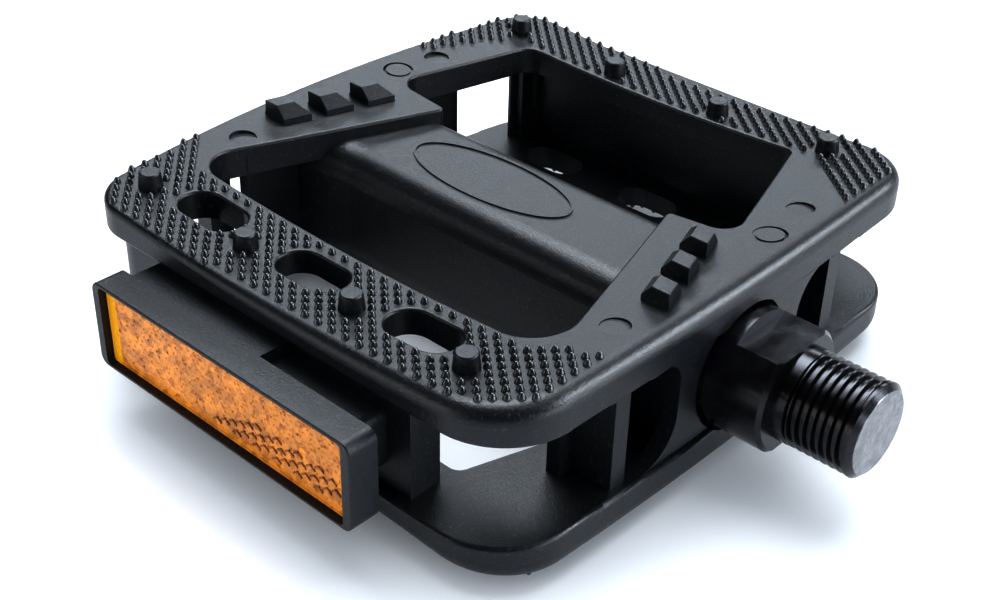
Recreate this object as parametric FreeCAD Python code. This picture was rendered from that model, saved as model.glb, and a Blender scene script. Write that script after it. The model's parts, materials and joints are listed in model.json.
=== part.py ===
"""Flat bicycle pedal: a moulded resin platform that spins on a steel spindle.

Frame, in millimetres: the origin is the centre of the spindle's shoulder face, where the
crank arm seats.  +Y runs out along the thread towards the crank, +X is forward and +Z is up.
The platform looks the same after half a turn about the spindle, so either face can be up.
"""
import FreeCAD
import Part
import math
import os

# ---- Platform: plan outline of a deck ------------------------------------------------
MID_Y = -57.0             # middle of the platform, along the spindle
SIDE_X_INNER = 48.7       # half width at the crank-side corners
SIDE_X_MID = 49.1         # half width at the middle: the sides bow out slightly
SIDE_X_OUTER = 49.3       # half width at the outer corners
INNER_Y_CORNER = -10.7    # crank-side edge where it would meet the sides
INNER_Y_MID = -9.2        # crank-side edge on the spindle's axis
OUTER_Y_CORNER = -94.9
OUTER_Y_MID = -99.4
INNER_CORNER_RADIUS = 12.0
OUTER_CORNER_RADIUS = 8.0

# ---- Platform: heights ---------------------------------------------------------------
DISH_Z = 12.0             # top of the deck at its lowest line, x parallel, y = MID_Y
DISH_RADIUS = 442.0       # the deck is dished along the spindle to this radius
SLAB_BOTTOM = 8.2         # flat inner face of each deck
RIM_ROUND = (1.0, 2.4)    # rounding of the rim at the outer end and at the crank side
RIM_CHANGES = (-87.0, -23.0)  # it grows along the sides between these two places
FOOT_ROUND = 0.6          # small rounding at the inner face
LIP_ROUND = 0.45          # edges of the windows and holes
HIGH = 20.0               # well above everything
LAP = 0.1                 # overlap between blocks that are fused into one

# ---- Platform: windows through the deck ----------------------------------------------
# (x, y, corner radius), anticlockwise from the front crank-side corner.
WINDOW = (
    (32.0, -18.2, 6.5),
    (-8.8, -30.9, 0.9),
    (-9.4, -19.3, 3.0),
    (-38.3, -28.6, 2.0),
    (-38.0, -84.5, 3.0),
    (-10.5, -90.6, 3.5),
    (-9.9, -78.3, 0.9),
    (32.0, -92.9, 5.0),
)
SLOT_X = 38.6             # oval holes through the wide front band
SLOT_YS = (-78.7, -56.6, -34.7)
SLOT_WIDTH = 6.8
SLOT_LENGTH = 12.2

# ---- Platform: grip features ---------------------------------------------------------
PIN_X = 41.3
PIN_YS = (-89.9, -67.8, -45.6, -24.2)
PIN_TOP_RADIUS = 1.62
PIN_BASE_RADIUS = 1.9
PIN_HEIGHT = 2.6
BLOCK_PITCH_X = 7.4
BLOCK_FRONT_X = 14.2      # front face of the foremost wedge block
BLOCK_BASE = (4.8, 4.7)   # footprint, along X and along Y
BLOCK_TOP = (3.1, 3.0)
BLOCK_HEIGHT = 2.5
BLOCK_STEP = 0.5          # upright lip at the foot of the wedge
# (y of the upright face of the foremost block, slope of the row, way to the middle)
BLOCK_ROWS = ((-13.2, 0.32, -1), (-95.9, -0.27, 1))
MARK_RADIUS = 2.2         # shallow round ejector marks
MARK_DEPTH = 0.35
MARKS = ((21.6, -16.2), (-21.8, -16.3), (21.7, -92.4), (-21.7, -92.3))
DIALS = ((-12.2, -15.1), (-13.3, -93.3))
DIAL_RADIUS = 2.6
DIAL_GROOVE = 0.5

# ---- Platform: core between the two decks --------------------------------------------
TUBE_HALF_WIDTH = 11.0
TUBE_HALF_HEIGHT = 10.7
TUBE_CORNER = 5.0
FLARE_WIDTH = 2.6         # how much wider each side of the tube gets at its ends
FLARE_HEIGHT = 0.5
FLARE_YS = ((-27.0, -18.0), (-78.0, -91.0))
BADGE_LENGTH = 32.0       # plain raised oval line on the tube
BADGE_WIDTH = 12.6
BADGE_LINE = 0.35
BADGE_Y = -58.7
HUB_HALF_WIDTH = 14.2     # solid block round each bearing
HUB_HALF_HEIGHT = 11.4
HUB_INNER_END = -20.2
HUB_OUTER_START = -77.5
WEB = 2.2
WEB_INNER_Y = -20.2       # face of the crank-side web towards the window
WEB_INNER_HALF = 29.5
WEB_OUTER_Y = -89.8
WEB_OUTER_HALF = 23.3
WEB_HALF_HEIGHT = 11.8
RIB_X = 25.2
RIB = 3.0
RIB_FRONT_Y = -11.2
PORT_END_X = 24.2         # each end wall is open from the hub block out to here
PORT_SMALL_CORNER = 4.0
PORT_LARGE_CORNER = 7.0
POST_X = (24.0, 28.4)     # post between the decks at the outer end, beside each port
POST_Y = -93.6
END_INSET = 0.7           # end walls and hub blocks stand in this far from the rim
SIDE_INSET = 2.2          # front and rear walls stand in further
WALL = 2.6
WALL_Y = (-91.5, -29.0)   # front and rear walls that carry the reflectors
WALL_HALF_HEIGHT = 9.7
PILLAR_X = 41.2
PILLAR = 2.4

# ---- Spindle -------------------------------------------------------------------------
THREAD_RADIUS = 7.144     # 9/16 in by 20 turns per inch
THREAD_PITCH = 1.27
THREAD_ROOT = 6.42
THREAD_CREST = 7.08       # worn crest, just under the full diameter
THREAD_LENGTH = 12.8
THREAD_FIRST_LAND = 2.0
THREAD_TIP_LAND = (11.6, 12.0)
THREAD_TIP_RADIUS = 6.2
COLLAR_RADIUS = 9.5
COLLAR_END = -12.4
COLLAR_CHAMFER = 0.6
FLAT_HALF = 7.5           # 15 mm spanner flats
FLAT_END = -7.24
SEAL_LAND_RADIUS = 8.2
SHANK_END_RADIUS = 5.0
TAPER_YS = (-26.0, -74.0)
STUD_RADIUS = 4.0         # threaded outer end, M8
STUD_START = -76.0
STUD_END = -92.6
KEYWAY_WIDTH = 1.7
KEYWAY_DEPTH = 1.0

# ---- Bearings ------------------------------------------------------------------------
BALL_RADIUS = 1.5875
RACE_GAP = 0.05
RACE_RADIUS = BALL_RADIUS + RACE_GAP
INNER_BALLS = 12
INNER_CIRCLE = 7.7        # radius of the ball circle
INNER_BALL_Y = -16.2
OUTER_BALLS = 9
OUTER_CIRCLE = 6.3
OUTER_BALL_Y = -81.5
INNER_BORE = 10.2
OUTER_BORE = 8.9
TUBE_BORE = 7.4
SEAL_YS = (-14.2, -12.7)
SEAL_CLEARANCE = 0.05
INNER_CUP_YS = (-19.0, -14.2)
OUTER_CUP_YS = (-83.4, -78.6)
CONE_YS = (-86.8, -80.3)
CONE_RADIUS = 6.9
WASHER_YS = (-87.8, -86.8)
WASHER_RADIUS = 7.4
NUT_YS = (-91.8, -87.8)
NUT_ACROSS_FLATS = 12.0
CAP_YS = (-98.3, -94.4)
CAP_WALL = 1.2
CAP_SLOT = (10.0, 1.8, 0.9)

# ---- Reflectors ----------------------------------------------------------------------
REFLECTOR_Y = -56.1
REFLECTOR_Z = -0.3        # the front reflector sits slightly below the middle
BEZEL_X = (52.6, 57.5)
BEZEL_HALF = (27.3, 7.2)  # along Y, along Z
BEZEL_CORNER = 1.6
BODY_HALF = (22.6, 5.0)
BODY_WALL = 1.6
TAB_YS = (-80.5, -52.0)   # raised strip across the top and bottom of the body
TAB_STEP = 1.9
LENS_HALF = (25.7, 6.7)
LENS_FRONT_X = 56.2
LENS_PLATE = 1.4
LENS_RIM = 1.0
BACKING_X = (53.3, 54.3)
SCREW_OFFSETS = (-18.0, 18.0)
SCREW_RADIUS = 1.5
SCREW_HEAD_RADIUS = 2.8
SCREW_HEAD = 1.8
SCREW_TIP_X = 45.0        # inside the wall, which it doesn't pass through
SEAT_X = 48.6             # seat of the screw head inside the bracket
SCREW_CLEARANCE = 0.2


def vec(x, y, z):
    return FreeCAD.Vector(x, y, z)


def box(x, y, z):
    """Box between the two limits given for each axis."""
    return Part.makeBox(x[1] - x[0], y[1] - y[0], z[1] - z[0], vec(x[0], y[0], z[0]))


def rod(radius, y):
    """Cylinder on the spindle's axis between two places along it."""
    return Part.makeCylinder(radius, y[1] - y[0], vec(0, y[0], 0), vec(0, 1, 0))


def screw_rod(radius, x, y):
    """Cylinder on the axis of a reflector screw, between two places along X."""
    return Part.makeCylinder(radius, x[1] - x[0], vec(x[0], y, 0), vec(1, 0, 0))


def half_turn(shape):
    """The shape turned half a turn about the spindle's axis."""
    turned_shape = shape.copy()
    turned_shape.rotate(vec(0, 0, 0), vec(0, 1, 0), 180)
    return turned_shape


def turned(path):
    """Solid turned about the spindle's axis from a closed path of (r, y) steps.

    A step is a point to draw a straight line to, or a pair (through, end) for an arc.
    """
    edges = []
    here = vec(path[0][0], path[0][1], 0)
    for step in path[1:] + path[:1]:
        if isinstance(step[0], tuple):
            through, end = (vec(r, y, 0) for r, y in step)
            edges.append(Part.Arc(here, through, end).toShape())
        else:
            end = vec(step[0], step[1], 0)
            edges.append(Part.LineSegment(here, end).toShape())
        here = end
    return Part.Face(Part.Wire(edges)).revolve(vec(0, 0, 0), vec(0, 1, 0), 360)


def race_point(circle, ball_y, degrees):
    """(r, y) of a point on a ball race, at an angle from straight out towards +Y."""
    angle = math.radians(degrees)
    return (circle + RACE_RADIUS * math.cos(angle), ball_y + RACE_RADIUS * math.sin(angle))


def deck_z(y):
    """Height of the dished deck surface."""
    return DISH_Z + DISH_RADIUS - math.sqrt(DISH_RADIUS ** 2 - (y - MID_Y) ** 2)


def above_deck(drop):
    """All space above the dished surface after it is lowered by drop."""
    axis_start = vec(-70, MID_Y, DISH_Z - drop + DISH_RADIUS)
    return Part.makeCylinder(DISH_RADIUS, 140, axis_start, vec(1, 0, 0))


def round_upright_edge(shape, x, y, radius):
    """Round the one upright edge that stands at (x, y)."""
    for edge in shape.Edges:
        ends = [vertex.Point for vertex in edge.Vertexes]
        if all(math.hypot(p.x - x, p.y - y) < 0.01 for p in ends):
            return shape.makeFillet(radius, [edge])
    raise ValueError("no upright edge at %.2f, %.2f" % (x, y))


def outline_prism(inset, bottom, top):
    """Upright prism of a deck's plan outline, drawn in by inset all round."""
    inner_x = SIDE_X_INNER - inset
    mid_x = SIDE_X_MID - inset
    outer_x = SIDE_X_OUTER - inset
    inner_y = INNER_Y_CORNER - inset
    outer_y = OUTER_Y_CORNER + inset
    corners = ((inner_x, inner_y), (-inner_x, inner_y), (-outer_x, outer_y), (outer_x, outer_y))
    middles = ((0, INNER_Y_MID - inset), (-mid_x, MID_Y), (0, OUTER_Y_MID + inset), (mid_x, MID_Y))
    edges = []
    for index, middle in enumerate(middles):
        start = corners[index]
        end = corners[(index + 1) % 4]
        points = [vec(x, y, bottom) for x, y in (start, middle, end)]
        edges.append(Part.Arc(*points).toShape())
    prism = Part.Face(Part.Wire(edges)).extrude(vec(0, 0, top - bottom))
    radii = (INNER_CORNER_RADIUS, INNER_CORNER_RADIUS, OUTER_CORNER_RADIUS, OUTER_CORNER_RADIUS)
    for (x, y), radius in zip(corners, radii):
        prism = round_upright_edge(prism, x, y, radius - inset)
    return prism


def edges_on_deck(shape, drop):
    """Edges of the shape that lie on the dished surface lowered by drop."""
    found = []
    for edge in shape.Edges:
        points = edge.discretize(5)
        if all(abs(p.z - deck_z(p.y) + drop) < 0.01 for p in points):
            found.append(edge)
    return found


def rim_radius(y):
    """Radius of the rim's rounding at a place along the spindle."""
    start, end = RIM_CHANGES
    share = min(1, max(0, (y - start) / (end - start)))
    return RIM_ROUND[0] + share * (RIM_ROUND[1] - RIM_ROUND[0])


def round_rim(plate):
    """Round the rim of a deck with a radius that changes along its sides."""
    on_rim = edges_on_deck(plate, 0)
    rounds = []
    for number, edge in enumerate(plate.Edges, 1):
        if any(edge.isSame(other) for other in on_rim):
            radii = [rim_radius(edge.valueAt(t).y) for t in (edge.FirstParameter, edge.LastParameter)]
            if edge.Orientation == "Forward":
                radii.reverse()
            rounds.append((number, *radii))
    document = FreeCAD.newDocument("rim")
    blank = document.addObject("Part::Feature", "Blank")
    blank.Shape = plate
    rim = document.addObject("Part::Fillet", "Rim")
    rim.Base = blank
    rim.Edges = rounds
    document.recompute()
    return rim.Shape


def window_prism():
    """Tool that opens the deck in front of, over and behind the tube."""
    points = [vec(x, y, 0) for x, y, radius in WINDOW]
    prism = Part.Face(Part.makePolygon(points + points[:1])).extrude(vec(0, 0, HIGH))
    for x, y, radius in WINDOW:
        prism = round_upright_edge(prism, x, y, radius)
    return prism


def slot_prism(y):
    """Tool for one oval hole in the wide band."""
    radius = SLOT_WIDTH / 2
    reach = SLOT_LENGTH / 2 - radius
    prism = box((SLOT_X - radius, SLOT_X + radius), (y - reach, y + reach), (0, HIGH))
    for end in (-reach, reach):
        prism = prism.fuse(Part.makeCylinder(radius, HIGH, vec(SLOT_X, y + end, 0)))
    return prism.removeSplitter()


def deck_plate():
    """Solid dished deck with a rounded rim, window and oval holes."""
    plate = outline_prism(0, SLAB_BOTTOM, HIGH).cut(above_deck(0))
    plate = round_rim(plate)
    foot = [e for e in plate.Edges if all(abs(v.Z - SLAB_BOTTOM) < 0.01 for v in e.Vertexes)]
    plate = plate.makeFillet(FOOT_ROUND, foot)
    for tool in [window_prism()] + [slot_prism(y) for y in SLOT_YS]:
        plate = plate.cut(tool)
        lips = [e for e in edges_on_deck(plate, 0) if e.distToShape(tool)[0] < 0.01]
        plate = plate.makeFillet(LIP_ROUND, lips)
    return plate


def pin(x, y):
    """One moulded grip pin: a short cone with a flat top."""
    root = 1.0
    draft = (PIN_BASE_RADIUS - PIN_TOP_RADIUS) / PIN_HEIGHT
    base = PIN_BASE_RADIUS + draft * root
    height = PIN_HEIGHT + root
    cone = Part.makeCone(base, PIN_TOP_RADIUS, height, vec(x, y, deck_z(y) - root))
    top = [e for e in cone.Edges if e.Closed and e.CenterOfMass.z > deck_z(y)]
    return cone.makeFillet(0.35, top)


def quad(x_front, y_upright, length, width, slope, to_middle, z):
    """Level four-sided wire whose ends lie along Y and whose sides follow the row's slope."""
    near_back = y_upright - slope * length
    points = [
        vec(x_front, y_upright, z),
        vec(x_front, y_upright + to_middle * width, z),
        vec(x_front - length, near_back + to_middle * width, z),
        vec(x_front - length, near_back, z),
    ]
    return Part.makePolygon(points + points[:1])


def wedge_block(x_front, y_upright, slope, to_middle):
    """Grip block: upright on its outer side, a ramp towards the middle of the pedal."""
    floor = deck_z(y_upright)
    plan = (slope, to_middle)
    foot = quad(x_front, y_upright, *BLOCK_BASE, *plan, floor - 1)
    lip = quad(x_front, y_upright, *BLOCK_BASE, *plan, floor + BLOCK_STEP)
    crown = quad(x_front, y_upright, *BLOCK_TOP, *plan, floor + BLOCK_HEIGHT)
    wedge = Part.makeLoft([lip, crown], True, True)
    wedge = wedge.makeFillet(0.2, [e for e in wedge.Edges if e.CenterOfMass.z > floor + BLOCK_STEP + LAP])
    return wedge.fuse(Part.Face(foot).extrude(vec(0, 0, 1 + BLOCK_STEP)))


def half_shell():
    """Everything of the platform that belongs to its upper deck."""
    shell = deck_plate()
    for x, y in MARKS:
        shell = shell.cut(Part.makeCylinder(MARK_RADIUS, HIGH, vec(x, y, deck_z(y) - MARK_DEPTH)))
    for x, y in DIALS:
        place = vec(x, y, deck_z(y) - MARK_DEPTH)
        ring = Part.makeCylinder(DIAL_RADIUS, HIGH, place)
        shell = shell.cut(ring.cut(Part.makeCylinder(DIAL_RADIUS - DIAL_GROOVE, HIGH, place)))
    for y in PIN_YS:
        for x in (-PIN_X, PIN_X):
            shell = shell.fuse(pin(x, y))
    for y_upright, slope, to_middle in BLOCK_ROWS:
        for step in range(3):
            shift = BLOCK_PITCH_X * step
            block = wedge_block(BLOCK_FRONT_X - shift, y_upright - slope * shift, slope, to_middle)
            shell = shell.fuse(block)
    return shell


def tube_section(y, wider, higher):
    """Rounded rectangle across the spindle's axis, as a wire."""
    x = TUBE_HALF_WIDTH + wider
    z = TUBE_HALF_HEIGHT + higher
    block = box((-x, x), (y, y + 1), (-z, z))
    long_edges = [e for e in block.Edges if abs(e.Length - 1) < 0.01]
    rounded = block.makeFillet(TUBE_CORNER, long_edges)
    ends = [f for f in rounded.Faces if abs(f.CenterOfMass.y - y) < 0.01]
    return ends[0].OuterWire


def tube():
    """Rounded box tube round the spindle, flared where it meets the two ends."""
    flat_end = Part.Face(tube_section(OUTER_Y_MID + 4, 0, 0))
    shape = flat_end.extrude(vec(0, INNER_Y_MID - 4 - OUTER_Y_MID - 4, 0))
    for slim, wide in FLARE_YS:
        middle = slim + 0.55 * (wide - slim)
        sections = [
            tube_section(slim, -0.05, -0.05),
            tube_section(middle, FLARE_WIDTH * 0.3, FLARE_HEIGHT * 0.4),
            tube_section(wide, FLARE_WIDTH, FLARE_HEIGHT),
        ]
        shape = shape.fuse(Part.makeLoft(sections, True, False))
    return shape


def badge():
    """Plain raised oval line on the top of the tube."""
    bottom = TUBE_HALF_HEIGHT - LAP
    height = LAP + 0.25
    shapes = []
    centre = vec(0, BADGE_Y, bottom)
    for shrink in (0, BADGE_LINE):
        long_end = vec(0, BADGE_Y + BADGE_LENGTH / 2 - shrink, bottom)
        short_end = vec(BADGE_WIDTH / 2 - shrink, BADGE_Y, bottom)
        oval = Part.Ellipse(long_end, short_end, centre)
        face = Part.Face(Part.Wire([oval.toShape()]))
        shapes.append(face.extrude(vec(0, 0, height)))
    return shapes[0].cut(shapes[1])


def end_port():
    """Opening beside the hub block in the end walls, on the front side."""
    high = SLAB_BOTTOM
    shape = box((HUB_HALF_WIDTH, PORT_END_X + 2), (-120, 20), (-high, high))
    for z, radius in ((high, PORT_SMALL_CORNER), (-high, PORT_LARGE_CORNER)):
        for edge in shape.Edges:
            ends = [vertex.Point for vertex in edge.Vertexes]
            if all(math.hypot(p.x - HUB_HALF_WIDTH, p.z - z) < 0.01 for p in ends):
                shape = shape.makeFillet(radius, [edge])
                break
    return shape


def wall_ring(inset):
    """Upright wall between the decks that follows their outline all round."""
    high = WALL_HALF_HEIGHT
    return outline_prism(inset, -high, high).cut(outline_prism(inset + WALL, -high, high))


def core():
    """Tube, hub blocks, webs, ribs and walls that join the two decks."""
    end_ring = wall_ring(END_INSET)
    side_ring = wall_ring(SIDE_INSET)
    inside = outline_prism(END_INSET, -HIGH, HIGH)
    inside_sides = outline_prism(SIDE_INSET, -HIGH, HIGH)
    shape = tube()
    for y in ((HUB_INNER_END, 0), (-120, HUB_OUTER_START)):
        block = box((-HUB_HALF_WIDTH, HUB_HALF_WIDTH), y, (-HUB_HALF_HEIGHT, HUB_HALF_HEIGHT))
        if y[0] < HUB_INNER_END:
            block = block.common(box((-30, 30), (-120, WEB_OUTER_Y), (-HIGH, HIGH)))
        shape = shape.fuse(block.common(inside))
    for y in ((-15, 0), (-120, -92)):
        wall = end_ring.common(box((-PORT_END_X, PORT_END_X), y, (-HIGH, HIGH)))
        wall = wall.cut(end_port()).cut(half_turn(end_port()))
        shape = shape.fuse(wall)
    tall = (-WEB_HALF_HEIGHT, WEB_HALF_HEIGHT)
    inner_web = (WEB_INNER_Y, WEB_INNER_Y + WEB)
    outer_web = (WEB_OUTER_Y - WEB, WEB_OUTER_Y)
    shape = shape.fuse(box((-WEB_INNER_HALF, WEB_INNER_HALF), inner_web, tall))
    shape = shape.fuse(box((-WEB_OUTER_HALF, WEB_OUTER_HALF), outer_web, tall))
    for side in (-1, 1):
        rib_x = side * RIB_X
        shape = shape.fuse(box((rib_x - RIB / 2, rib_x + RIB / 2), (WEB_INNER_Y, RIB_FRONT_Y), tall))
        post_x = sorted(side * x for x in POST_X)
        post = box(post_x, (-120, POST_Y), (-WALL_HALF_HEIGHT, WALL_HALF_HEIGHT))
        shape = shape.fuse(post.common(inside))
        wall_x = sorted((side * 40, side * 60))
        shape = shape.fuse(side_ring.common(box(wall_x, WALL_Y, (-HIGH, HIGH))))
        wall_middle = side * (SIDE_X_MID - SIDE_INSET - WALL / 2)
        pillar_x = sorted((side * PILLAR_X, wall_middle))
        for y in ((WALL_Y[0], WALL_Y[0] + PILLAR), (WALL_Y[1] - PILLAR, WALL_Y[1])):
            pillar = box(pillar_x, y, (-WALL_HALF_HEIGHT, WALL_HALF_HEIGHT))
            shape = shape.fuse(pillar.common(inside_sides))
    return shape


def platform_body():
    """The whole resin moulding, bored for the bearings and the reflector screws."""
    shell = half_shell().removeSplitter()
    body = core().removeSplitter().fuse([shell, half_turn(shell), badge(), half_turn(badge())])
    body = body.cut(rod(TUBE_BORE, (-120, 20)))
    body = body.cut(rod(INNER_BORE, (INNER_CUP_YS[0], 20)))
    body = body.cut(rod(OUTER_BORE, (-120, OUTER_CUP_YS[1])))
    for side in (-1, 1):
        for offset in SCREW_OFFSETS:
            hole_x = sorted((side * SCREW_TIP_X, side * 60))
            body = body.cut(screw_rod(SCREW_RADIUS, hole_x, REFLECTOR_Y + offset))
    return body


def thread_ridge():
    """Right-hand helical ridge, its foot sunk into the thread's root."""
    start = THREAD_FIRST_LAND - 0.6
    helix = Part.makeHelix(THREAD_PITCH, THREAD_TIP_LAND[0] + 0.2 - start, THREAD_ROOT)
    foot = THREAD_ROOT - 0.3
    foot_half = THREAD_PITCH * 0.40
    crest_half = THREAD_PITCH * 0.09
    profile = Part.makePolygon([
        vec(foot, 0, -foot_half),
        vec(THREAD_CREST, 0, -crest_half),
        vec(THREAD_CREST, 0, crest_half),
        vec(foot, 0, foot_half),
        vec(foot, 0, -foot_half),
    ])
    ridge = Part.Wire(helix).makePipeShell([profile], True, True)
    ridge.rotate(vec(0, 0, 0), vec(1, 0, 0), -90)
    ridge.translate(vec(0, start, 0))
    return ridge


def spindle_thread():
    """Rolled thread between a plain land at the shoulder and one at the bevelled tip."""
    tip_start, tip_end = THREAD_TIP_LAND
    foot = THREAD_ROOT - 0.5
    runout = 0.6
    first_land = turned([
        (0, -LAP),
        (THREAD_RADIUS, -LAP),
        (THREAD_RADIUS, THREAD_FIRST_LAND),
        (foot, THREAD_FIRST_LAND + runout),
        (0, THREAD_FIRST_LAND + runout),
    ])
    tip = turned([
        (0, tip_start - runout),
        (foot, tip_start - runout),
        (THREAD_RADIUS, tip_start),
        (THREAD_RADIUS, tip_end),
        (THREAD_TIP_RADIUS, THREAD_LENGTH),
        (0, THREAD_LENGTH),
    ])
    return rod(THREAD_ROOT, (-LAP, tip_end)).fuse(thread_ridge()).fuse([first_land, tip])


def spindle():
    """Forged steel spindle: thread, spanner flats, inner race, tapered shank and stud."""
    race_top = race_point(INNER_CIRCLE, INNER_BALL_Y, 90)
    race_mid = race_point(INNER_CIRCLE, INNER_BALL_Y, 135)
    race_end = race_point(INNER_CIRCLE, INNER_BALL_Y, 180)
    body = turned([
        (0, 0),
        (COLLAR_RADIUS - COLLAR_CHAMFER, 0),
        (COLLAR_RADIUS, -COLLAR_CHAMFER),
        (COLLAR_RADIUS, COLLAR_END + 0.3),
        (COLLAR_RADIUS - 0.3, COLLAR_END),
        (SEAL_LAND_RADIUS, COLLAR_END),
        (SEAL_LAND_RADIUS, race_top[1]),
        race_top,
        (race_mid, race_end),
        (race_end[0], TAPER_YS[0]),
        (SHANK_END_RADIUS, TAPER_YS[1]),
        (SHANK_END_RADIUS, STUD_START),
        (STUD_RADIUS, STUD_START - 0.6),
        (STUD_RADIUS, STUD_END + 0.6),
        (STUD_RADIUS - 0.6, STUD_END),
        (0, STUD_END),
    ])
    for side in (-1, 1):
        z = sorted((side * FLAT_HALF, side * 15))
        body = body.cut(box((-15, 15), (FLAT_END, 5), z))
    keyway_z = (STUD_RADIUS - KEYWAY_DEPTH, 10)
    half = KEYWAY_WIDTH / 2
    body = body.cut(box((-half, half), (STUD_END - 1, WASHER_YS[1] + 0.2), keyway_z))
    return body.fuse(spindle_thread()).removeSplitter()


def inner_cup():
    """Pressed steel cup at the crank side, its race facing the crank."""
    start = race_point(INNER_CIRCLE, INNER_BALL_Y, 0)
    end = race_point(INNER_CIRCLE, INNER_BALL_Y, -90)
    via = race_point(INNER_CIRCLE, INNER_BALL_Y, -45)
    back, front = INNER_CUP_YS
    hole = INNER_CIRCLE - 0.5
    return turned([
        (INNER_BORE, back),
        (INNER_BORE, front),
        (start[0], front),
        start,
        (via, end),
        (hole, end[1]),
        (hole, back),
    ])


def outer_cup():
    """Pressed steel cup at the outer end, its race facing outwards."""
    start = race_point(OUTER_CIRCLE, OUTER_BALL_Y, 0)
    end = race_point(OUTER_CIRCLE, OUTER_BALL_Y, 90)
    via = race_point(OUTER_CIRCLE, OUTER_BALL_Y, 45)
    front, back = OUTER_CUP_YS
    hole = OUTER_CIRCLE - 0.6
    return turned([
        (OUTER_BORE, back),
        (OUTER_BORE, front),
        (start[0], front),
        start,
        (via, end),
        (hole, end[1]),
        (hole, back),
    ])


def adjusting_cone():
    """Steel cone on the stud: its race faces the crank and it sets the bearing play."""
    start = race_point(OUTER_CIRCLE, OUTER_BALL_Y, 180)
    via = race_point(OUTER_CIRCLE, OUTER_BALL_Y, 225)
    end = race_point(OUTER_CIRCLE, OUTER_BALL_Y, 270)
    back, front = CONE_YS
    cone = turned([
        (STUD_RADIUS, back),
        (STUD_RADIUS, front),
        (start[0], front),
        start,
        (via, end),
        (CONE_RADIUS, end[1]),
        (CONE_RADIUS, back + 0.4),
        (CONE_RADIUS - 0.4, back),
    ])
    slots = box((-10, 10), (back - 1, back + 1.2), (-1, 1))
    return cone.cut(slots.cut(rod(STUD_RADIUS + 1.0, (back - 1, back + 1.2))))


def lock_washer():
    """Washer whose tongue sits in the stud's keyway."""
    washer = rod(WASHER_RADIUS, WASHER_YS).cut(rod(STUD_RADIUS, (-100, -80)))
    half = KEYWAY_WIDTH / 2 - 0.05
    return washer.fuse(box((-half, half), WASHER_YS, (STUD_RADIUS - KEYWAY_DEPTH + 0.1, STUD_RADIUS + 1)))


def lock_nut():
    """Hexagon nut that locks the cone, with bevelled corners."""
    across_corners = NUT_ACROSS_FLATS / math.cos(math.pi / 6)
    points = []
    for corner in range(7):
        angle = math.radians(60 * corner)
        x = across_corners / 2 * math.cos(angle)
        points.append(vec(x, NUT_YS[0], across_corners / 2 * math.sin(angle)))
    prism = Part.Face(Part.makePolygon(points)).extrude(vec(0, NUT_YS[1] - NUT_YS[0], 0))
    bevel = NUT_ACROSS_FLATS / 2 + 0.1
    blank = turned([
        (0, NUT_YS[0]),
        (bevel, NUT_YS[0]),
        (bevel + 1, NUT_YS[0] + 0.6),
        (bevel + 1, NUT_YS[1]),
        (0, NUT_YS[1]),
    ])
    return prism.common(blank).cut(rod(STUD_RADIUS, (-100, -80)))


def dust_cap():
    """Push-in cap over the outer bearing, with a coin slot and a shallow dome."""
    outer, inner = CAP_YS
    cap = turned([
        (0, outer),
        (OUTER_BORE - 1.2, outer + 0.15),
        (OUTER_BORE - 0.2, outer + 0.5),
        (OUTER_BORE, outer + 0.9),
        (OUTER_BORE, inner),
        (OUTER_BORE - CAP_WALL, inner),
        (OUTER_BORE - CAP_WALL, outer + 1.9),
        (0, outer + 1.9),
    ])
    length, width, depth = CAP_SLOT
    return cap.cut(box((-length / 2, length / 2), (outer - 1, outer + depth), (-width / 2, width / 2)))


def dust_seal():
    """Soft ring pressed into the body, running on the spindle's seal land."""
    back, front = SEAL_YS
    lip = SEAL_LAND_RADIUS + SEAL_CLEARANCE
    return turned([
        (lip, back + 0.3),
        (lip, front - 0.3),
        (lip + 0.4, front),
        (INNER_BORE, front),
        (INNER_BORE, back),
        (lip + 0.4, back),
    ])


def balls(count, circle, y):
    """Ring of loose steel balls."""
    shapes = []
    for index in range(count):
        angle = 2 * math.pi * index / count
        centre = vec(circle * math.cos(angle), y, circle * math.sin(angle))
        shapes.append(Part.makeSphere(BALL_RADIUS, centre))
    return Part.makeCompound(shapes)


def ball_retainer(count, circle, y, r, way):
    """Pressed ring on the open side of the balls, with a pocket for each one."""
    near = y + way * 0.15
    far = y + way * 1.85
    ring = turned([(r[0], near), (r[1], near), (r[1], far), (r[0], far)])
    for index in range(count):
        angle = 2 * math.pi * index / count
        centre = vec(circle * math.cos(angle), y, circle * math.sin(angle))
        ring = ring.cut(Part.makeSphere(BALL_RADIUS + 0.07, centre))
    return ring


def bar(x, half, corner):
    """Bar along the reflector with rounded corners, centred on it."""
    y = (REFLECTOR_Y - half[0], REFLECTOR_Y + half[0])
    block = box(x, y, (REFLECTOR_Z - half[1], REFLECTOR_Z + half[1]))
    length = x[1] - x[0]
    long_edges = [e for e in block.Edges if abs(e.Vertexes[0].X - e.Vertexes[-1].X) > length - 0.01]
    return block.makeFillet(corner, long_edges)


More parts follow.
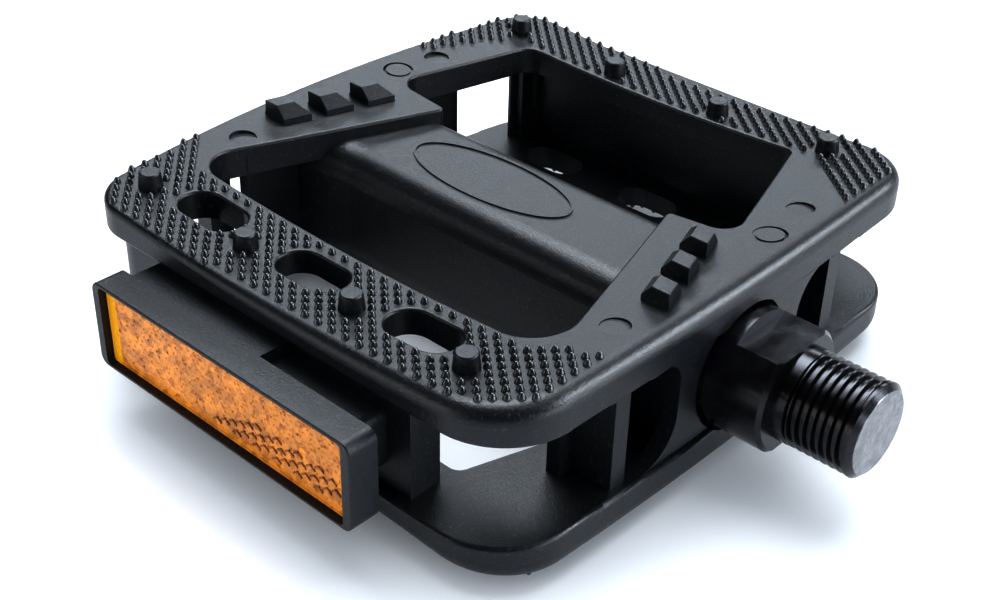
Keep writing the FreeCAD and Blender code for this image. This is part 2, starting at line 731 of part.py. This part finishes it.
def reflector_housing():
    """Hollow bracket on the front wall, with a deeper frame round the lens."""
    frame = bar(BEZEL_X, BEZEL_HALF, BEZEL_CORNER)
    rim = [e for e in frame.Edges if all(abs(v.X - BEZEL_X[1]) < 0.01 for v in e.Vertexes)]
    frame = frame.makeFillet(0.25, rim)
    body = bar((SIDE_X_MID - 5, BEZEL_X[0] + LAP), BODY_HALF, BEZEL_CORNER)
    tab_half = BODY_HALF[1] + TAB_STEP
    tab_z = (REFLECTOR_Z - tab_half, REFLECTOR_Z + tab_half)
    body = body.fuse(box((SIDE_X_MID - 5, BEZEL_X[0] + LAP), TAB_YS, tab_z))
    shape = frame.fuse(body).cut(bar((BACKING_X[0], BEZEL_X[1] + 1), LENS_HALF, 0.8))
    hollow_half = (BODY_HALF[0] - BODY_WALL, BODY_HALF[1] - BODY_WALL)
    shape = shape.cut(bar((SEAT_X, BACKING_X[0] + LAP), hollow_half, 0.6))
    shape = shape.cut(outline_prism(SIDE_INSET, -HIGH, HIGH))
    for offset in SCREW_OFFSETS:
        shape = shape.cut(screw_rod(SCREW_RADIUS + SCREW_CLEARANCE, (0, BEZEL_X[0]), REFLECTOR_Y + offset))
    return shape.removeSplitter()


def reflector_lens():
    """Clear coloured lens: a plate with a short rim behind it."""
    plate = bar((BACKING_X[1], LENS_FRONT_X), LENS_HALF, 0.8)
    hollow_half = (LENS_HALF[0] - LENS_RIM, LENS_HALF[1] - LENS_RIM)
    return plate.cut(bar((BACKING_X[1] - 1, LENS_FRONT_X - LENS_PLATE), hollow_half, 0.5))


def reflector_backing():
    """Flat plate that closes the lens from behind."""
    return bar(BACKING_X, LENS_HALF, 0.8)


def reflector_screws():
    """Pair of pan-head screws, driven from inside the bracket into the front wall."""
    shapes = []
    for offset in SCREW_OFFSETS:
        y = REFLECTOR_Y + offset
        shank = screw_rod(SCREW_RADIUS, (SCREW_TIP_X, SEAT_X + LAP), y)
        head_end = SEAT_X + SCREW_HEAD
        head = screw_rod(SCREW_HEAD_RADIUS, (SEAT_X, head_end), y)
        crown = [e for e in head.Edges if abs(e.CenterOfMass.x - head_end) < 0.01]
        screw = head.makeFillet(1.0, crown).fuse(shank)
        for reach in ((1.7, 0.35), (0.35, 1.7)):
            slot_y = (y - reach[0], y + reach[0])
            screw = screw.cut(box((SEAT_X + 0.8, head_end + 1), slot_y, (-reach[1], reach[1])))
        shapes.append(screw.removeSplitter())
    return Part.makeCompound(shapes)


def all_nodes():
    """Every piece of the pedal by name."""
    inner_ring = (INNER_CIRCLE + 0.65, race_point(INNER_CIRCLE, INNER_BALL_Y, 0)[0] - 0.08)
    outer_ring = (CONE_RADIUS + 0.1, race_point(OUTER_CIRCLE, OUTER_BALL_Y, 0)[0] - 0.08)
    nodes = {
        "platform_body": platform_body(),
        "spindle": spindle(),
        "inner_dust_seal": dust_seal(),
        "inner_bearing_cup": inner_cup(),
        "inner_balls": balls(INNER_BALLS, INNER_CIRCLE, INNER_BALL_Y),
        "inner_ball_retainer": ball_retainer(INNER_BALLS, INNER_CIRCLE, INNER_BALL_Y, inner_ring, 1),
        "outer_bearing_cup": outer_cup(),
        "outer_balls": balls(OUTER_BALLS, OUTER_CIRCLE, OUTER_BALL_Y),
        "outer_ball_retainer": ball_retainer(OUTER_BALLS, OUTER_CIRCLE, OUTER_BALL_Y, outer_ring, -1),
        "adjusting_cone": adjusting_cone(),
        "keyed_lock_washer": lock_washer(),
        "lock_nut": lock_nut(),
        "outer_dust_cap": dust_cap(),
    }
    for part, make in (
        ("housing", reflector_housing),
        ("lens", reflector_lens),
        ("backing", reflector_backing),
        ("screws", reflector_screws),
    ):
        shape = make()
        nodes["front_reflector_" + part] = shape
        nodes["rear_reflector_" + part] = half_turn(shape)
    return nodes


os.makedirs("parts", exist_ok=True)
for name, shape in all_nodes().items():
    shape.exportStep("parts/%s.step" % name)
    print("%-26s solids %d  volume %9.1f mm3" % (name, len(shape.Solids), shape.Volume))
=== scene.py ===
import json
import math

import bmesh
import bpy
from mathutils import Matrix, Vector
from mathutils.bvhtree import BVHTree


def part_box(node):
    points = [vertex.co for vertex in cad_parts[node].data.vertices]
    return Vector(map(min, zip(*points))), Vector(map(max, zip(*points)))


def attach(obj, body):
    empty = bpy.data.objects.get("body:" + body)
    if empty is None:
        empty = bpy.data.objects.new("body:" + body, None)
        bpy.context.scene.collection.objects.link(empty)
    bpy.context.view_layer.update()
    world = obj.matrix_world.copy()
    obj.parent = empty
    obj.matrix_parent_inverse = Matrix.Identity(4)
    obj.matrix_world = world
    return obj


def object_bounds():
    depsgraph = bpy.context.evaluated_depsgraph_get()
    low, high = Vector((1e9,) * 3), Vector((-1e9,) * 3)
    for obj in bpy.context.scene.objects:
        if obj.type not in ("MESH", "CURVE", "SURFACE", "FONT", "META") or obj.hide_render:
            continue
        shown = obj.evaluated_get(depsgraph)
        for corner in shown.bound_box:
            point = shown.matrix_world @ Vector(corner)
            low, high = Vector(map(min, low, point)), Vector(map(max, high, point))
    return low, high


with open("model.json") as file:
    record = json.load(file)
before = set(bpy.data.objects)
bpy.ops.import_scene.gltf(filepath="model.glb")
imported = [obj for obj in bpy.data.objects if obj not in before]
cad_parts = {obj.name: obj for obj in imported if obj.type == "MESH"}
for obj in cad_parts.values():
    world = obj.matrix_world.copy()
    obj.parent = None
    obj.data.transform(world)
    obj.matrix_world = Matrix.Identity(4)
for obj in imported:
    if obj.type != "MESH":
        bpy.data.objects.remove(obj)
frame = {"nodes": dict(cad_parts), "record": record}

CAD_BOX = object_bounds()
NODES = frame["nodes"]
MM = 0.001
DOWN = Vector((0, 0, -1))
NO_TURN = Matrix.Identity(4)
HALF_TURN = Matrix.Rotation(math.pi, 4, "Y")   # about the spindle, as the pedal repeats itself
SCENE = bpy.context.scene
FLOOR_Z = CAD_BOX[0].z
FLOOR_REACH = 3            # metres each way from the middle
TIP_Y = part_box("spindle")[1].y
LENS_LOW, LENS_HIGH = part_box("front_reflector_lens")
OUTER_STRIP_Y = LENS_LOW.y + 1.9 * MM
CRANK_STRIP_Y = LENS_HIGH.y - 1.6 * MM

# ---- Camera ---------------------------------------------------------------------------
CAMERA_AT = Vector((0.15524, 0.08394, 0.12707))
LOOKS_AT = Vector((0.01210, -0.04521, 0.0))
CAMERA_ROLL = math.radians(1.57)
CAMERA_LENS = 55.37
CAMERA_SENSOR = 36.0
CAMERA_NEAREST = 0.005

# ---- Grip bumps on both decks ----------------------------------------------------------
BUMP_PITCH_X = 2.40 * MM
BUMP_PITCH_Y = 1.33 * MM
BUMP_FIRST_Y = -12.9 * MM
BUMP_LAST_Y = -97.9 * MM
BUMP_FIRST_X = 21.6 * MM
BUMP_LAST_X = 48.6 * MM
BUMP_SIDES = 12
BUMP_PROBES = 8            # places tried round a bump
# Radius and height above the deck of each ring of a bump, from its sunk foot to its tip.
BUMP_RINGS = ((0.64, -0.40), (0.61, 0.0), (0.53, 0.24), (0.43, 0.50), (0.31, 0.72), (0.16, 0.86))
BUMP_TIP = 0.90
BUMP_ROOM = 0.62 * MM      # the deck has to be clear this far round a bump
BUMP_STEP = 0.28 * MM      # most that the deck may rise or fall within that
DECK_LOWEST = 11.6 * MM    # anything lower lies below a window or a hole
PIN_REACH = 2.6 * MM       # a place that stands over all four places this far off is a pin's top
PIN_RISE = 1.5 * MM        # by more than this
# Edge of each bumped band towards the windows, as (x, y), for the front and the rear band.
FRONT_EDGE = ((26.0, -10.0), (26.9, -13.2), (32.9, -20.5), (33.5, -23.0), (33.0, -26.0), (33.0, -76.5),
              (32.8, -79.5), (33.3, -87.6), (32.3, -90.5), (30.0, -93.0), (28.0, -94.2), (25.6, -97.0),
              (25.0, -98.5))
REAR_EDGE = ((25.5, -10.0), (28.2, -13.4), (33.5, -18.6), (36.8, -21.8), (38.3, -23.4), (39.3, -27.2),
             (39.3, -85.2), (38.0, -88.8), (33.0, -91.8), (27.0, -94.0), (22.4, -95.0), (21.5, -98.5))


def mesh_object(name, bm, smooth=True):
    """An object from the bmesh, with its normals facing out."""
    bmesh.ops.recalc_face_normals(bm, faces=bm.faces)
    mesh = bpy.data.meshes.new(name)
    bm.to_mesh(mesh)
    bm.free()
    for face in mesh.polygons:
        face.use_smooth = smooth
    made = bpy.data.objects.new(name, mesh)
    SCENE.collection.objects.link(made)
    return made


# ---- Materials ------------------------------------------------------------------------
def new_material(name, **shader_values):
    made = bpy.data.materials.new(name)
    made.use_nodes = True
    tree = made.node_tree
    shader = tree.nodes["Principled BSDF"]
    for socket, value in shader_values.items():
        shader.inputs[socket.replace("_", " ")].default_value = value
    return made, tree, shader


def add(tree, kind, values=None, **settings):
    """A node with its settings, and with plain values on the named or numbered inputs."""
    made = tree.nodes.new(kind)
    for key, value in settings.items():
        setattr(made, key, value)
    for key, value in (values or {}).items():
        made.inputs[key].default_value = value
    return made


def object_point(tree):
    return add(tree, "ShaderNodeTexCoord").outputs["Object"]


def noise(tree, point, scale, detail=2.0, roughness=0.5, distortion=0.0):
    made = add(tree, "ShaderNodeTexNoise",
               {"Scale": scale, "Detail": detail, "Roughness": roughness, "Distortion": distortion})
    tree.links.new(point, made.inputs["Vector"])
    return made.outputs["Fac"]


def ramp(tree, factor, *stops):
    """A colour ramp: each stop is (place, colour), and a colour may be one grey number."""
    made = add(tree, "ShaderNodeValToRGB")
    elements = made.color_ramp.elements
    while len(elements) < len(stops):
        elements.new(0.5)
    for element, (place, colour) in zip(elements, stops):
        element.position = place
        element.color = (colour,) * 3 + (1,) if isinstance(colour, float) else (*colour, 1)
    tree.links.new(factor, made.inputs["Fac"])
    return made.outputs["Color"]


def mapped(tree, value, low, high, low_to, high_to):
    made = add(tree, "ShaderNodeMapRange",
               {"From Min": low, "From Max": high, "To Min": low_to, "To Max": high_to})
    tree.links.new(value, made.inputs["Value"])
    return made.outputs["Result"]


def mix_colour(tree, factor, first, second, blend="MIX"):
    made = add(tree, "ShaderNodeMix", data_type="RGBA", blend_type=blend)
    colour_sockets = [s for s in made.inputs if s.type == "RGBA"]
    for socket, value in zip([made.inputs[0], *colour_sockets], (factor, first, second)):
        if isinstance(value, bpy.types.NodeSocket):
            tree.links.new(value, socket)
        elif isinstance(value, tuple):
            socket.default_value = (*value, 1)
        else:
            socket.default_value = value
    return next(s for s in made.outputs if s.type == "RGBA")


def bumped(tree, height, distance, strength=1.0, normal=None):
    made = add(tree, "ShaderNodeBump", {"Strength": strength, "Distance": distance})
    tree.links.new(height, made.inputs["Height"])
    if normal is not None:
        tree.links.new(normal, made.inputs["Normal"])
    return made.outputs["Normal"]


def moulded_plastic(name, dark, light, rough, grain, grain_depth, speck=0.0, level=0.4):
    """Moulded plastic with a spark-eroded grain: fine pits, a slower drift of sheen, small flecks."""
    made, tree, shader = new_material(name, IOR=1.5, Specular_IOR_Level=level)
    point = object_point(tree)
    fine = noise(tree, point, 1000 / grain, 3.0, 0.62)
    coarse = noise(tree, point, 420 / grain, 2.0, 0.5)
    slow = noise(tree, point, 55.0, 3.0, 0.55)
    base = ramp(tree, slow, (0.3, dark), (0.72, light))
    flecks = ramp(tree, noise(tree, point, 1700.0, 1.0, 0.4), (0.62, 0.0), (0.74, 1.0))
    fleck_colour = tuple(min(1.0, c + speck) for c in light)
    base = mix_colour(tree, flecks, base, fleck_colour)
    tree.links.new(base, shader.inputs["Base Color"])
    sheen = mapped(tree, fine, 0.3, 0.7, rough - 0.08, rough + 0.08)
    tree.links.new(sheen, shader.inputs["Roughness"])
    first = bumped(tree, coarse, grain_depth * MM * 0.5, 0.5)
    tree.links.new(bumped(tree, fine, grain_depth * MM, 0.9, first), shader.inputs["Normal"])
    return made


def black_steel(name, dark, light, rough, turned_scale, end_mask=False):
    """Steel with a black oxide finish and fine turning marks round the spindle's axis."""
    made, tree, shader = new_material(name, Metallic=0.85, Specular_IOR_Level=0.6)
    point = object_point(tree)
    stretched = add(tree, "ShaderNodeMapping", {"Scale": (1.0, turned_scale, 1.0)})
    tree.links.new(point, stretched.inputs["Vector"])
    marks = noise(tree, stretched.outputs["Vector"], 160.0, 3.0, 0.6)
    cloud = noise(tree, point, 240.0, 4.0, 0.6)
    base = ramp(tree, cloud, (0.3, dark), (0.7, light))
    sheen = mapped(tree, cloud, 0.3, 0.7, rough - 0.05, rough + 0.08)
    normal = bumped(tree, marks, 0.012 * MM, 0.7)
    if end_mask:
        place = add(tree, "ShaderNodeSeparateXYZ")
        tree.links.new(point, place.inputs["Vector"])
        bare = mapped(tree, place.outputs["Y"], TIP_Y - 0.10 * MM, TIP_Y - 0.04 * MM, 0.0, 1.0)
        grind = noise(tree, point, 900.0, 3.0, 0.6)
        ground = ramp(tree, grind, (0.3, (0.11, 0.113, 0.12)), (0.7, (0.24, 0.245, 0.26)))
        base = mix_colour(tree, bare, base, ground)
    tree.links.new(base, shader.inputs["Base Color"])
    tree.links.new(sheen, shader.inputs["Roughness"])
    tree.links.new(normal, shader.inputs["Normal"])
    return made


def bright_steel(name, dark, light, rough):
    """Bare steel with a faint cloudiness and fine scratches."""
    made, tree, shader = new_material(name, Metallic=1.0)
    point = object_point(tree)
    cloud = noise(tree, point, 300.0, 4.0, 0.6)
    tree.links.new(ramp(tree, cloud, (0.3, dark), (0.7, light)), shader.inputs["Base Color"])
    tree.links.new(mapped(tree, cloud, 0.3, 0.7, rough - 0.04, rough + 0.08), shader.inputs["Roughness"])
    tree.links.new(bumped(tree, noise(tree, point, 2500.0, 2.0), 0.006 * MM, 0.6), shader.inputs["Normal"])
    return made


def amber_plastic(name, deep, bright, rough, scale):
    """Amber acrylic: tone that shifts from facet to facet up to gold, painted glints from the prisms, with
    a brighter strip at each end.
    """
    made, tree, shader = new_material(
        name, IOR=1.49, Specular_IOR_Level=0.3, Coat_Weight=0.15, Coat_Roughness=0.10)
    point = object_point(tree)
    # Each prism-sized cell gets its own tone from deep amber up to gold: painted glints standing in for
    # how each prism catches the light.
    cells = add(tree, "ShaderNodeTexVoronoi", {"Scale": scale})
    tree.links.new(point, cells.inputs["Vector"])
    grey = add(tree, "ShaderNodeSeparateColor")
    tree.links.new(cells.outputs["Color"], grey.inputs["Color"])
    glint_gold = tuple(min(1, c * 1.3) for c in bright)
    base = ramp(tree, grey.outputs["Red"], (0.0, deep), (0.45, bright), (1.0, glint_gold))
    cloud = ramp(tree, noise(tree, point, 260.0, 3.0, 0.6), (0.3, 0.72), (0.7, 1.0))
    base = mix_colour(tree, 1.0, base, cloud, "MULTIPLY")
    place = add(tree, "ShaderNodeSeparateXYZ")
    tree.links.new(point, place.inputs["Vector"])
    outer_end = mapped(tree, place.outputs["Y"], OUTER_STRIP_Y, OUTER_STRIP_Y + 0.3 * MM, 1.0, 0.0)
    crank_end = mapped(tree, place.outputs["Y"], CRANK_STRIP_Y, CRANK_STRIP_Y + 0.3 * MM, 0.0, 1.0)
    base = mix_colour(tree, outer_end, base, (0.80, 0.38, 0.012))
    base = mix_colour(tree, crank_end, base, (0.66, 0.17, 0.006))
    tree.links.new(base, shader.inputs["Base Color"])
    tree.links.new(mapped(tree, grey.outputs["Green"], 0.0, 1.0, rough - 0.05, rough + 0.1),
                   shader.inputs["Roughness"])
    tree.links.new(bumped(tree, noise(tree, point, 1500.0, 2.0), 0.02 * MM, 0.5), shader.inputs["Normal"])
    return made


RESIN = moulded_plastic(
    "resin", (0.0036, 0.0046, 0.0066), (0.0070, 0.0088, 0.0120),
    0.37, 0.28, 0.050, 0.015)
# The bumps are the same black resin as the deck; this copy's base colour is about twice the resin's,
# painted light standing in for the light the bumps catch.
LIT_GRIP = moulded_plastic(
    "grip", (0.0075, 0.0090, 0.0120), (0.0140, 0.0165, 0.0215),
    0.32, 0.28, 0.012, 0.0, 0.85)
HOUSING = moulded_plastic(
    "housing", (0.005, 0.0062, 0.0085), (0.010, 0.0122, 0.0158),
    0.42, 0.28, 0.075, 0.015)
CAP = moulded_plastic(
    "cap", (0.006, 0.0066, 0.0080), (0.011, 0.0122, 0.0140),
    0.36, 0.30, 0.030, 0.01)
BACKING = moulded_plastic("backing", (0.10, 0.10, 0.10), (0.14, 0.14, 0.14), 0.5, 0.5, 0.02, 0.02)
RUBBER = moulded_plastic(
    "rubber", (0.004, 0.004, 0.005), (0.008, 0.008, 0.009),
    0.62, 0.4, 0.03, 0.0)
OXIDE = black_steel(
    "black_oxide_steel", (0.016, 0.016, 0.018), (0.040, 0.040, 0.045),
    0.22, 40.0, True)
SCREW = black_steel("black_screw_steel", (0.012, 0.012, 0.013), (0.026, 0.026, 0.028), 0.4, 8.0)
HARDWARE = bright_steel("zinc_steel", (0.42, 0.43, 0.45), (0.60, 0.61, 0.63), 0.28)
BEARING = bright_steel("bearing_steel", (0.50, 0.50, 0.52), (0.68, 0.68, 0.70), 0.16)
RETAINER = bright_steel("retainer_steel", (0.34, 0.34, 0.35), (0.50, 0.50, 0.52), 0.32)
AMBER = amber_plastic("amber", (0.44, 0.138, 0.015), (0.65, 0.245, 0.033), 0.30, 900.0)
# Much darker amber for the chevron strokes: painted shade standing in for the shadow lines along the
# raised strokes.
AMBER_SHADE_LINES = amber_plastic("amber_shade_lines", (0.10, 0.030, 0.006), (0.24, 0.070, 0.012), 0.30, 900.0)

SLOT_LOOKS = {
    "platform_resin": RESIN,
    "spindle_steel": OXIDE,
    "bearing_steel": BEARING,
    "retainer_steel": RETAINER,
    "hardware_steel": HARDWARE,
    "screw_steel": SCREW,
    "seal_rubber": RUBBER,
    "cap_plastic": CAP,
    "housing_plastic": HOUSING,
    "amber_lens": AMBER,
    "backing_plastic": BACKING,
}
for part in frame["record"]["subparts"]:
    mesh = NODES[part["node"]].data
    look = SLOT_LOOKS[part["material_slot"]]
    if not mesh.materials:
        mesh.materials.append(look)
    for index in range(len(mesh.materials)):
        mesh.materials[index] = look


# ---- Grip bumps -----------------------------------------------------------------------
deck = NODES["platform_body"]
deck_tree = BVHTree.FromPolygons(
    [v.co for v in deck.data.vertices],
    [p.vertices for p in deck.data.polygons],
)
ABOVE = 0.03               # height that the rays start from


def deck_height(x, y):
    """Height of the topmost surface at a place, or None off the platform."""
    hit = deck_tree.ray_cast(Vector((x, y, ABOVE)), DOWN)
    return None if hit[0] is None else hit[0].z


def edge_x(edge, y):
    """Where the band's edge towards the windows lies at y, in millimetres."""
    for (x0, y0), (x1, y1) in zip(edge, edge[1:]):
        if y1 <= y <= y0:
            return x0 + (x1 - x0) * (y0 - y) / (y0 - y1)
    return edge[0][0] if y > edge[0][1] else edge[-1][0]


def on_pin(x, y, middle):
    """True on the flat top of a moulded grip pin."""
    for step_x, step_y in ((1, 0), (-1, 0), (0, 1), (0, -1)):
        near = deck_height(x + step_x * PIN_REACH, y + step_y * PIN_REACH)
        if near is not None and near > middle - PIN_RISE:
            return False
    return True


def clear_deck(x, y):
    """Height of the deck at a place where a bump fits, or None where one doesn't."""
    middle = deck_height(x, y)
    if middle is None or middle < DECK_LOWEST or on_pin(x, y, middle):
        return None
    for k in range(BUMP_PROBES):
        turn = k * math.tau / BUMP_PROBES
        near = deck_height(x + BUMP_ROOM * math.cos(turn), y + BUMP_ROOM * math.sin(turn))
        if near is None or abs(near - middle) > BUMP_STEP:
            return None
    return middle


def bump_places():
    """Feet of the bumps on the upper deck: staggered rows across the front and the rear band."""
    found = []
    rows = int((BUMP_FIRST_Y - BUMP_LAST_Y) / BUMP_PITCH_Y) + 1
    for side, edge in ((1, FRONT_EDGE), (-1, REAR_EDGE)):
        for row in range(rows):
            y = BUMP_FIRST_Y - row * BUMP_PITCH_Y
            x = BUMP_FIRST_X + (row % 2) * BUMP_PITCH_X / 2
            while x < BUMP_LAST_X:
                if x > edge_x(edge, y / MM) * MM:
                    z = clear_deck(side * x, y)
                    if z is not None:
                        found.append(Vector((side * x, y, z)))
                x += BUMP_PITCH_X
    return found


def add_bump(bm, place, turn):
    """One closed bump: rings of the profile, a foot below the deck, and a tip."""
    rings = []
    for radius, height in BUMP_RINGS:
        ring = []
        for k in range(BUMP_SIDES):
            angle = k * math.tau / BUMP_SIDES
            offset = Vector((radius * math.cos(angle), radius * math.sin(angle), height)) * MM
            ring.append(bm.verts.new(turn @ (place + offset)))
        rings.append(ring)
    tip = bm.verts.new(turn @ (place + Vector((0, 0, BUMP_TIP * MM))))
    bm.faces.new(rings[0])
    for low, high in zip(rings, rings[1:]):
        for k in range(BUMP_SIDES):
            after = (k + 1) % BUMP_SIDES
            bm.faces.new((low[k], low[after], high[after], high[k]))
    for k in range(BUMP_SIDES):
        bm.faces.new((rings[-1][k], rings[-1][(k + 1) % BUMP_SIDES], tip))


places = bump_places()
for name, turn in (("grip_bumps_upper", NO_TURN), ("grip_bumps_lower", HALF_TURN)):
    bm = bmesh.new()
    for place in places:
        add_bump(bm, place, turn)
    bumps = mesh_object(name, bm)
    bumps.data.materials.append(LIT_GRIP)
    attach(bumps, "platform")


# ---- Reflector prisms -------------------------------------------------------------------
PRISM = 1.05 * MM          # pitch of the cube-corner prisms
PRISM_MARGIN = 1.0 * MM    # plain border round them
PRISM_SINK = 0.15 * MM     # how far the feet lie inside the lens
PRISM_REACH = 0.56         # of the pitch: from a prism's middle to its corners
PRISM_WANDER = 0.32        # of the pitch: most that a tip lies off the middle
PRISM_HEIGHT = 0.16 * MM
CHEVRON_ROWS = 6           # over the crank-side half of the lens
CHEVRONS_IN_ROW = 6
ROW_STARTS = 27.0 * MM     # of the first row, from the lens's crank-side end
ROW_PITCH = 4.2 * MM
CHEVRON_PITCH = 1.75 * MM
CHEVRON_CLIMB = 0.70 * MM  # from one chevron of a row to the next
CHEVRON_SPAN = 0.85 * MM   # length of one stroke along the lens
CHEVRON_DROP = 0.55 * MM
CHEVRON_GAP = 0.02 * MM
ROW_LOWEST = 2.4 * MM
STROKE_WIDTH = 0.30 * MM
STROKE_TOP = 0.19 * MM
BORDER_WIDTH = 0.55 * MM
BORDER_GAP = 0.15 * MM
BORDER_HEIGHT = 0.18 * MM
BORDER_DRAW = 0.12 * MM    # the bars narrow by this much towards their tops


def add_cell(bm, corners, tip, turn):
    """A closed low pyramid on the lens; its corners are (y, z) and its foot is sunk."""
    front = LENS_HIGH.x
    foot = [bm.verts.new(turn @ Vector((front - PRISM_SINK, y, z))) for y, z in corners]
    peak = bm.verts.new(turn @ Vector((front + tip[0], tip[1], tip[2])))
    bm.faces.new(foot)
    for k in range(len(foot)):
        bm.faces.new((foot[k], foot[(k + 1) % len(foot)], peak))


def add_prisms(bm, turn):
    """Six-sided prisms with wandering tips, all over the lens."""
    row_step = PRISM * math.sqrt(3) / 2
    reach = PRISM_REACH * PRISM
    stray = PRISM_WANDER * PRISM
    columns = int((LENS_HIGH.y - LENS_LOW.y - 2 * PRISM_MARGIN) / PRISM)
    rows = int((LENS_HIGH.z - LENS_LOW.z - 2 * PRISM_MARGIN) / row_step)
    for row in range(rows):
        for column in range(columns):
            y = LENS_LOW.y + PRISM_MARGIN + (column + 0.5 + 0.5 * (row % 2)) * PRISM
            z = LENS_LOW.z + PRISM_MARGIN + (row + 0.6) * row_step
            wander = math.sin(12.9 * row + 78.2 * column)
            other = math.sin(39.3 * row + 11.1 * column)
            corners = []
            for k in range(6):
                angle = math.pi / 6 + k * math.pi / 3
                corners.append((y + reach * math.cos(angle), z + reach * math.sin(angle)))
            tip = (PRISM_HEIGHT, y + stray * wander, z + stray * other)
            add_cell(bm, corners, tip, turn)


def add_stroke(bm, corners, turn):
    """A closed flat-topped bar that stands over the prisms; its corners are (y, z)."""
    loops = []
    for x in (LENS_HIGH.x - PRISM_SINK, LENS_HIGH.x + STROKE_TOP):
        loops.append([bm.verts.new(turn @ Vector((x, y, z))) for y, z in corners])
    bm.faces.new(loops[0])
    bm.faces.new(loops[1])
    for k in range(4):
        after = (k + 1) % 4
        bm.faces.new((loops[0][k], loops[0][after], loops[1][after], loops[1][k]))


def add_chevrons(bm, turn):
    """Slanting rows of small chevrons over the crank-side half of the lens."""
    for row in range(CHEVRON_ROWS):
        for step in range(CHEVRONS_IN_ROW):
            y = LENS_HIGH.y - ROW_STARTS + row * ROW_PITCH + step * CHEVRON_PITCH
            z = LENS_LOW.z + ROW_LOWEST + step * CHEVRON_CLIMB
            if y > LENS_HIGH.y - 2 * PRISM_MARGIN:
                continue
            for side in (-1, 1):
                near = y + side * CHEVRON_GAP
                far = y + side * CHEVRON_SPAN
                low = z - CHEVRON_DROP
                corners = (
                    (near, z),
                    (far, low),
                    (far, low + STROKE_WIDTH),
                    (near, z + STROKE_WIDTH),
                )
                add_stroke(bm, corners, turn)


def add_border(bm, turn):
    """Raised bars along the four sides of the lens."""
    width = BORDER_WIDTH
    low_y, high_y = LENS_LOW.y + BORDER_GAP, LENS_HIGH.y - BORDER_GAP
    low_z, high_z = LENS_LOW.z + BORDER_GAP, LENS_HIGH.z - BORDER_GAP
    bars = (
        (low_y, high_y, high_z - width, high_z),
        (low_y, high_y, low_z, low_z + width),
        (low_y, low_y + width, low_z, high_z),
        (high_y - width, high_y, low_z, high_z),
    )
    front = LENS_HIGH.x
    for y0, y1, z0, z1 in bars:
        loops = []
        for x, draw in ((front - PRISM_SINK, 0.0), (front + BORDER_HEIGHT, BORDER_DRAW)):
            points = (
                (y0 + draw, z0 + draw),
                (y1 - draw, z0 + draw),
                (y1 - draw, z1 - draw),
                (y0 + draw, z1 - draw),
            )
            loops.append([bm.verts.new(turn @ Vector((x, y, z))) for y, z in points])
        bm.faces.new(loops[0])
        bm.faces.new(loops[1])
        for k in range(4):
            after = (k + 1) % 4
            bm.faces.new((loops[0][k], loops[0][after], loops[1][after], loops[1][k]))


for name, turn in (("front", NO_TURN), ("rear", HALF_TURN)):
    bm = bmesh.new()
    add_prisms(bm, turn)
    add_border(bm, turn)
    prisms = mesh_object(name + "_reflector_prisms", bm, False)
    bm = bmesh.new()
    add_chevrons(bm, turn)
    chevrons = mesh_object(name + "_reflector_chevrons", bm, False)
    # The chevrons take the darker amber, painted shade along the strokes.
    for piece, look in ((prisms, AMBER), (chevrons, AMBER_SHADE_LINES)):
        piece.data.materials.append(look)
        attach(piece, "platform")


# ---- Floor, lights, camera --------------------------------------------------------------
LIGHTS_AIM = Vector((0, -0.045, 0))


def area_light(name, place, size, power, colour, card=False):
    """A soft rectangular lamp; a card is one that only shows as a reflection."""
    data = bpy.data.lights.new(name, "AREA")
    data.shape = "RECTANGLE"
    data.size, data.size_y = size
    data.energy = power
    data.color = colour
    lamp = bpy.data.objects.new(name, data)
    lamp.location = place
    lamp.rotation_euler = (LIGHTS_AIM - Vector(place)).to_track_quat("-Z", "Y").to_euler()
    lamp.visible_camera = False
    lamp.visible_diffuse = not card
    SCENE.collection.objects.link(lamp)
    return lamp


bm = bmesh.new()
around = ((-1, -1), (1, -1), (1, 1), (-1, 1))
bm.faces.new([bm.verts.new((FLOOR_REACH * x, FLOOR_REACH * y, FLOOR_Z)) for x, y in around])
floor = mesh_object("floor", bm, False)
floor_look, floor_tree, floor_shader = new_material("floor", Roughness=0.55, Specular_IOR_Level=0.25)
shade = noise(floor_tree, object_point(floor_tree), 6.0, 2.0)
floor_tree.links.new(ramp(floor_tree, shade, (0.3, (0.90, 0.905, 0.92)), (0.7, (0.92, 0.925, 0.94))),
                     floor_shader.inputs["Base Color"])
floor.data.materials.append(floor_look)

area_light("top", (-0.22, -0.16, 0.80), (0.80, 0.80), 7.2, (0.92, 0.965, 1.0))
area_light("top_card", (-0.24, -0.42, 0.78), (0.62, 0.30), 11.0, (0.86, 0.93, 1.0), True)
area_light("back_card", (-0.62, -0.50, 0.35), (0.95, 0.13), 3.8, (0.84, 0.92, 1.0), True)
area_light("crank_side", (-0.22, 0.70, 0.09), (0.60, 0.16), 4.2, (0.88, 0.94, 1.0))
area_light("crank_card", (-0.56, 0.50, 0.42), (0.50, 0.24), 14.0, (0.86, 0.93, 1.0), True)
area_light("lens_side", (0.50, -0.30, 0.12), (0.25, 0.20), 0.7, (1.0, 0.98, 0.95))

world = bpy.data.worlds.new("studio")
world.use_nodes = True
world.node_tree.nodes["Background"].inputs["Color"].default_value = (0.86, 0.925, 1.0, 1)
world.node_tree.nodes["Background"].inputs["Strength"].default_value = 1.1
world.cycles_visibility.glossy = False
SCENE.world = world

camera_data = bpy.data.cameras.new("camera")
camera_data.lens = CAMERA_LENS
camera_data.sensor_width = CAMERA_SENSOR
camera_data.clip_start = CAMERA_NEAREST
camera = bpy.data.objects.new("camera", camera_data)
SCENE.collection.objects.link(camera)
aim = (LOOKS_AT - CAMERA_AT).to_track_quat("-Z", "Y").to_matrix()
camera.matrix_world = Matrix.Translation(CAMERA_AT) @ (aim @ Matrix.Rotation(CAMERA_ROLL, 3, "Z")).to_4x4()
bpy.context.scene.camera = camera
SCENE.view_settings.view_transform = "Standard"
SCENE.view_settings.gamma = 0.75
